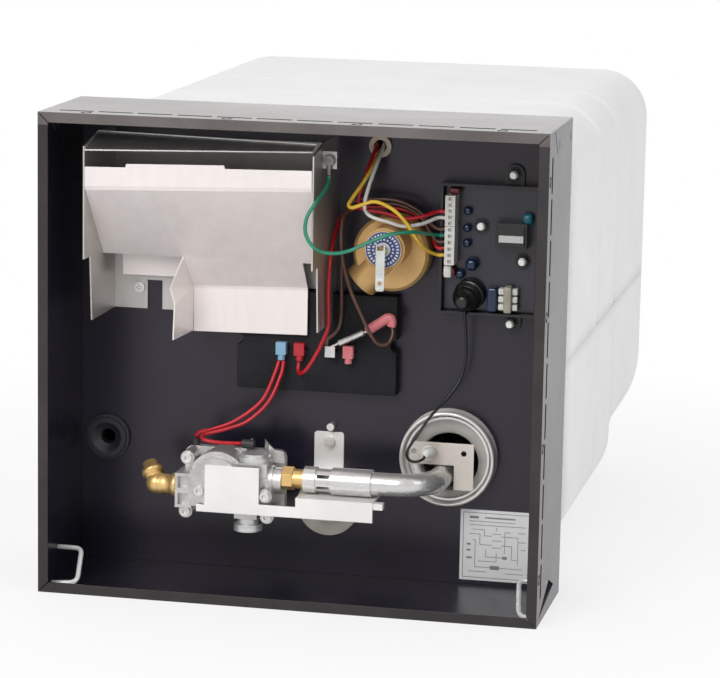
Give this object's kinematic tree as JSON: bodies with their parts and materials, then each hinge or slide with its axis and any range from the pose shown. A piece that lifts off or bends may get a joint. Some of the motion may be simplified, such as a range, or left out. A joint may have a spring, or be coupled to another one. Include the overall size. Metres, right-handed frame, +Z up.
{
  "type": "caravan water heater",
  "caption": "Gas water heater for a caravan: open black steel housing with exhaust, relief valve, control board, gas valve and burner, ahead of a white foam-jacketed tank.",
  "frame": {"origin": "on the base, below the middle of the whole unit", "axes": "+Z up, front of the housing facing -Y, +X to the right seen from the front"},
  "size_m": [0.322, 0.487, 0.308],
  "materials": {
    "housing_black": "semi-gloss black enamel on sheet steel",
    "jacket_white": "moulded white foam with a fine bead texture",
    "tank_metal": "plain rolled aluminium",
    "stainless": "satin stainless sheet",
    "steel": "zinc-plated steel",
    "valve_cast": "fine-grained die casting",
    "brass": "plain turned brass",
    "rubber": "matt black rubber",
    "nylon_white": "white nylon",
    "tray_black": "black plastic",
    "board_black": "dark potting over the board",
    "parts_mixed": "blue and pale components",
    "plate_blue": "printed aluminium disc",
    "cover_black": "matt black insulating pad",
    "stat_brown": "dark phenolic",
    "sleeve_blue": "pale blue vinyl",
    "sleeve_red": "red vinyl",
    "sleeve_pink": "pink vinyl",
    "ceramic": "white ceramic",
    "label_paper": "printed label",
    "lead_red": "red insulation",
    "lead_white": "white insulation",
    "lead_yellow": "yellow insulation",
    "lead_green": "green insulation",
    "lead_brown": "brown insulation",
    "lead_black": "black insulation"
  },
  "bodies": {
    "heater": {"housing_top": "housing_black", "housing_bottom": "housing_black", "housing_left": "housing_black", "housing_right": "housing_black", "back_panel": "housing_black", "jacket_upper": "jacket_white", "jacket_lower": "jacket_white", "tank_shell": "tank_metal", "flue_tube": "steel", "water_ports": "brass", "drain_plug": "nylon_white", "exhaust_box": "stainless", "exhaust_baffle": "stainless", "exhaust_hood": "stainless", "exhaust_screws": "steel", "earth_terminal": "steel", "wire_grommet": "nylon_white", "gas_grommet": "rubber", "board_tray": "tray_black", "circuit_board": "board_black", "board_connectors": "nylon_white", "relay": "tray_black", "spark_coil": "rubber", "board_parts": "parts_mixed", "board_nuts": "steel", "relief_body": "brass", "relief_plate": "plate_blue", "thermostat_cover": "cover_black", "limit_thermostat": "stat_brown", "control_thermostat": "stat_brown", "blue_terminal": "sleeve_blue", "red_terminal": "sleeve_red", "pink_terminals": "sleeve_pink", "thermal_fuse": "steel", "gas_valve_body": "valve_cast", "gas_valve_caps": "valve_cast", "gas_valve_screws": "steel", "coil_boots": "rubber", "inlet_elbow": "brass", "gas_orifice": "brass", "burner_bracket": "stainless", "bracket_screws": "steel", "burner_tube": "stainless", "burner_ring": "steel", "igniter_plate": "stainless", "igniter": "ceramic", "wiring_label": "label_paper", "wires_red": "lead_red", "wire_white": "lead_white", "wire_yellow": "lead_yellow", "wire_green": "lead_green", "wires_brown": "lead_brown", "spark_lead": "lead_black"},
    "relief_stem": {"relief_stem": "brass", "relief_pin": "brass"},
    "relief_lever": {"relief_lever": "steel"},
    "air_shutter": {"air_shutter": "stainless"},
    "hinge_wire_left": {"hinge_wire_left": "steel"},
    "hinge_wire_right": {"hinge_wire_right": "steel"}
  },
  "joints": [
    {"name": "relief_lift", "type": "slide", "parent": "heater", "child": "relief_stem", "axis": [0, -1, 0], "range_m": [0, 0.003]},
    {"name": "lever_tilt", "type": "hinge", "parent": "relief_stem", "child": "relief_lever", "pos_m": [0.0505, -0.2027, 0.225], "axis": [-1, 0, 0], "range_deg": [0, 90], "stiffness_Nm_per_rad": 0.02},
    {"name": "shutter_slide", "type": "slide", "parent": "heater", "child": "air_shutter", "axis": [1, 0, 0], "range_m": [-0.009, 0.006]},
    {"name": "door_wire_left", "type": "hinge", "parent": "heater", "child": "hinge_wire_left", "pos_m": [-0.155, -0.2055, 0.0203], "axis": [-1, 0, 0], "range_deg": [0, 110]},
    {"name": "door_wire_right", "type": "hinge", "parent": "heater", "child": "hinge_wire_right", "pos_m": [0.155, -0.2055, 0.0203], "axis": [-1, 0, 0], "range_deg": [0, 110]}
  ],
  "couplings": [
    {"joint": "relief_lift", "follows": "lever_tilt", "m_per_rad": 0.0017}
  ]
}
